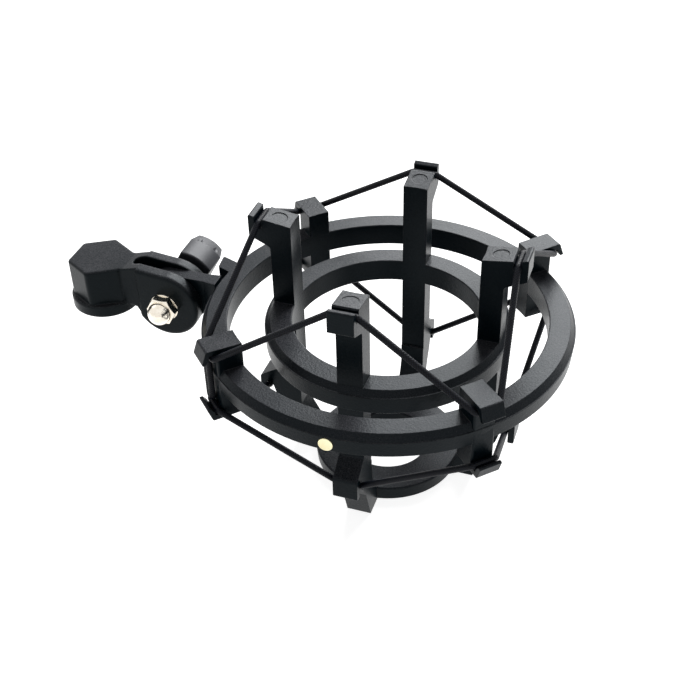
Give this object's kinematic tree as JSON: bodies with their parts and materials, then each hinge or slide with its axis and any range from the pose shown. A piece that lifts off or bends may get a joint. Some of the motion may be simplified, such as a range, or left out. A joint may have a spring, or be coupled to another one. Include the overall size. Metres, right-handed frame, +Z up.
{
  "type": "microphone shock mount",
  "caption": "Elastic suspension shock mount for a studio microphone: round cradle hung in an outer ring, with a tilting stand adaptor.",
  "frame": {"origin": "centre of the base ring's hole at its underside, on the cradle's axis", "axes": "+Z up along the cradle's axis, -X along the arm to the stand adaptor, -Y the front with the marker dot and the cap nut"},
  "size_m": [0.1826, 0.1253, 0.0946],
  "materials": {
    "moulded_plastic": "fine-grained black moulded nylon",
    "knob_plastic": "satin grey moulded plastic",
    "elastic": "braided black cover over a rubber core",
    "disc_fibre": "dark friction fibre",
    "brass": "pale turned brass",
    "nickel": "warm bright nickel plate",
    "steel": "zinc-plated steel",
    "dark_steel": "blackened steel"
  },
  "bodies": {
    "cradle": {"cradle": "moulded_plastic", "upper_elastic": "elastic", "lower_elastic": "elastic"},
    "ring": {"outer_ring": "moulded_plastic", "front_marker_dot": "brass", "elastic_link": "elastic"},
    "adaptor": {"swivel_body": "moulded_plastic", "stand_thread_insert": "brass", "near_friction_disc": "disc_fibre", "far_friction_disc": "disc_fibre", "pivot_stud": "steel", "cap_nut": "nickel", "cap_nut_washer": "nickel", "knob_washer": "dark_steel"},
    "knob": {"clamp_knob": "knob_plastic", "knob_insert": "brass"}
  },
  "joints": [
    {"name": "suspension", "type": "slide", "parent": "cradle", "child": "ring", "axis": [0, 0, 1], "range_m": [-0.006, 0.006], "stiffness_N_per_m": 1200, "springref_m": 0.0006, "deforming": ["upper_elastic", "lower_elastic"]},
    {"name": "adaptor_tilt", "type": "hinge", "parent": "ring", "child": "adaptor", "pos_m": [-0.0804, 0, 0.0521], "axis": [0, 1, 0], "range_deg": [-90, 90]},
    {"name": "knob_turn", "type": "hinge", "parent": "adaptor", "child": "knob", "pos_m": [-0.0804, 0, 0.0521], "axis": [0, 1, 0], "range_deg": [0, 450]}
  ]
}
